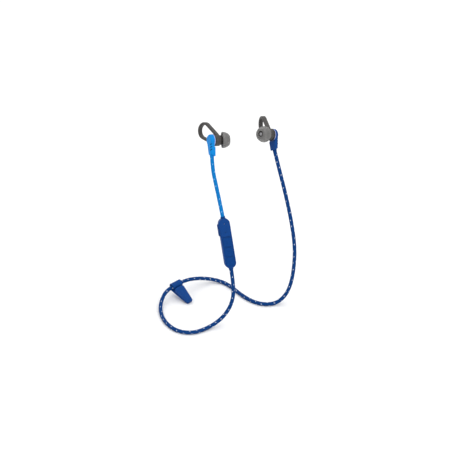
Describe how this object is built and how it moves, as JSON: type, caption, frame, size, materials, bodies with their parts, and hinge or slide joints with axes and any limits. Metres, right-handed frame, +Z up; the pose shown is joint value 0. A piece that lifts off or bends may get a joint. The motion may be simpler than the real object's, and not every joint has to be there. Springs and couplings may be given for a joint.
{
  "type": "wireless in-ear headphones with a neck cord",
  "caption": "In-ear sport earphones joined by a round neck cord, with ear loops, an in-line keyed controller with a charging flap, and a shirt clip on the cord.",
  "frame": {"origin": "middle of the left ear tip's cylindrical band, on its axis, where the wearer's left ear holds the set", "axes": "+Z up, +Y towards the wearer's back, +X from the right earbud to the left one"},
  "size_m": [0.1295, 0.1207, 0.1714],
  "materials": {
    "housing_right": "satin",
    "housing_left": "satin",
    "seam": "satin",
    "inner_grey": "matte",
    "silicone_dark": "matte",
    "silicone_clear": "translucent",
    "cord_right": "matte",
    "cord_left": "matte",
    "case_blue": "satin",
    "key_blue": "matte",
    "clip_blue": "satin",
    "steel": "brushed",
    "mesh": "woven",
    "magnet": "polished",
    "film": "gloss",
    "board": "solder mask",
    "black_plastic": "matte",
    "foil": "foil",
    "lens": "clear"
  },
  "bodies": {
    "headset": {"back_cover": "case_blue", "battery": "foil", "circuit_board": "board", "front_cover": "case_blue", "key_switches": "black_plastic", "led_lens": "lens", "left_driver_basket": "black_plastic", "left_driver_diaphragm": "film", "left_driver_magnet": "magnet", "left_front_housing": "inner_grey", "left_nozzle_mesh": "mesh", "left_rear_housing": "housing_left", "left_seam_ring": "seam", "left_strain_relief": "cord_left", "lower_gland": "key_blue", "microphone": "foil", "neck_cord": "cord_left", "radio_module": "steel", "right_cord": "cord_right", "right_driver_basket": "black_plastic", "right_driver_diaphragm": "film", "right_driver_magnet": "magnet", "right_front_housing": "inner_grey", "right_nozzle_mesh": "mesh", "right_rear_housing": "housing_right", "right_seam_ring": "seam", "right_strain_relief": "cord_right", "upper_gland": "key_blue", "usb_socket": "steel"},
    "right_tip": {"right_ear_tip": "silicone_clear"},
    "left_tip": {"left_ear_tip": "silicone_clear"},
    "right_loop": {"right_ear_loop": "silicone_dark"},
    "left_loop": {"left_ear_loop": "silicone_dark"},
    "volume_up": {"volume_up_key": "key_blue"},
    "play": {"play_key": "key_blue"},
    "volume_down": {"volume_down_key": "key_blue"},
    "charging_flap": {"port_cover": "key_blue"},
    "clip": {"clip_base": "clip_blue", "clip_pin": "steel", "clip_spring": "steel"},
    "clip_jaw": {"clip_lever": "clip_blue"}
  },
  "joints": [
    {"name": "right_tip_pull", "type": "slide", "parent": "headset", "child": "right_tip", "axis": [0.9842, 0.1672, -0.0575], "range_m": [0, 0.008]},
    {"name": "left_tip_pull", "type": "slide", "parent": "headset", "child": "left_tip", "axis": [-0.5686, -0.7098, 0.4159], "range_m": [0, 0.008]},
    {"name": "right_loop_turn", "type": "hinge", "parent": "headset", "child": "right_loop", "pos_m": [-0.04374, -0.01295, 0.00047], "axis": [0.8888, 0.4242, -0.1732], "range_deg": [-20, 20]},
    {"name": "left_loop_turn", "type": "hinge", "parent": "headset", "child": "left_loop", "pos_m": [0.0041, 0.00382, -0.00223], "axis": [-0.7855, -0.5352, 0.3107], "range_deg": [-20, 20]},
    {"name": "volume_up_press", "type": "slide", "parent": "headset", "child": "volume_up", "axis": [-0.1885, 0.9122, -0.3638], "range_m": [0, 0.00035], "stiffness_N_per_m": 2000},
    {"name": "play_press", "type": "slide", "parent": "headset", "child": "play", "axis": [-0.1885, 0.9122, -0.3638], "range_m": [0, 0.00035], "stiffness_N_per_m": 2000},
    {"name": "volume_down_press", "type": "slide", "parent": "headset", "child": "volume_down", "axis": [-0.1885, 0.9122, -0.3638], "range_m": [0, 0.00035], "stiffness_N_per_m": 2000},
    {"name": "flap_open", "type": "hinge", "parent": "headset", "child": "charging_flap", "pos_m": [-0.04122, -0.05326, -0.07674], "axis": [0.1885, -0.9122, 0.3638], "range_deg": [0, 100]},
    {"name": "clip_swivel", "type": "hinge", "parent": "headset", "child": "clip", "pos_m": [-0.08315, -0.0228, -0.149], "axis": [-0.7716, -0.6293, -0.0924], "range_deg": [0, 160]},
    {"name": "clip_open", "type": "hinge", "parent": "clip", "child": "clip_jaw", "pos_m": [-0.07856, -0.02769, -0.15222], "axis": [-0.7716, -0.6293, -0.0924], "range_deg": [0, 18], "stiffness_Nm_per_rad": 0.02, "springref_deg": -17.19}
  ]
}
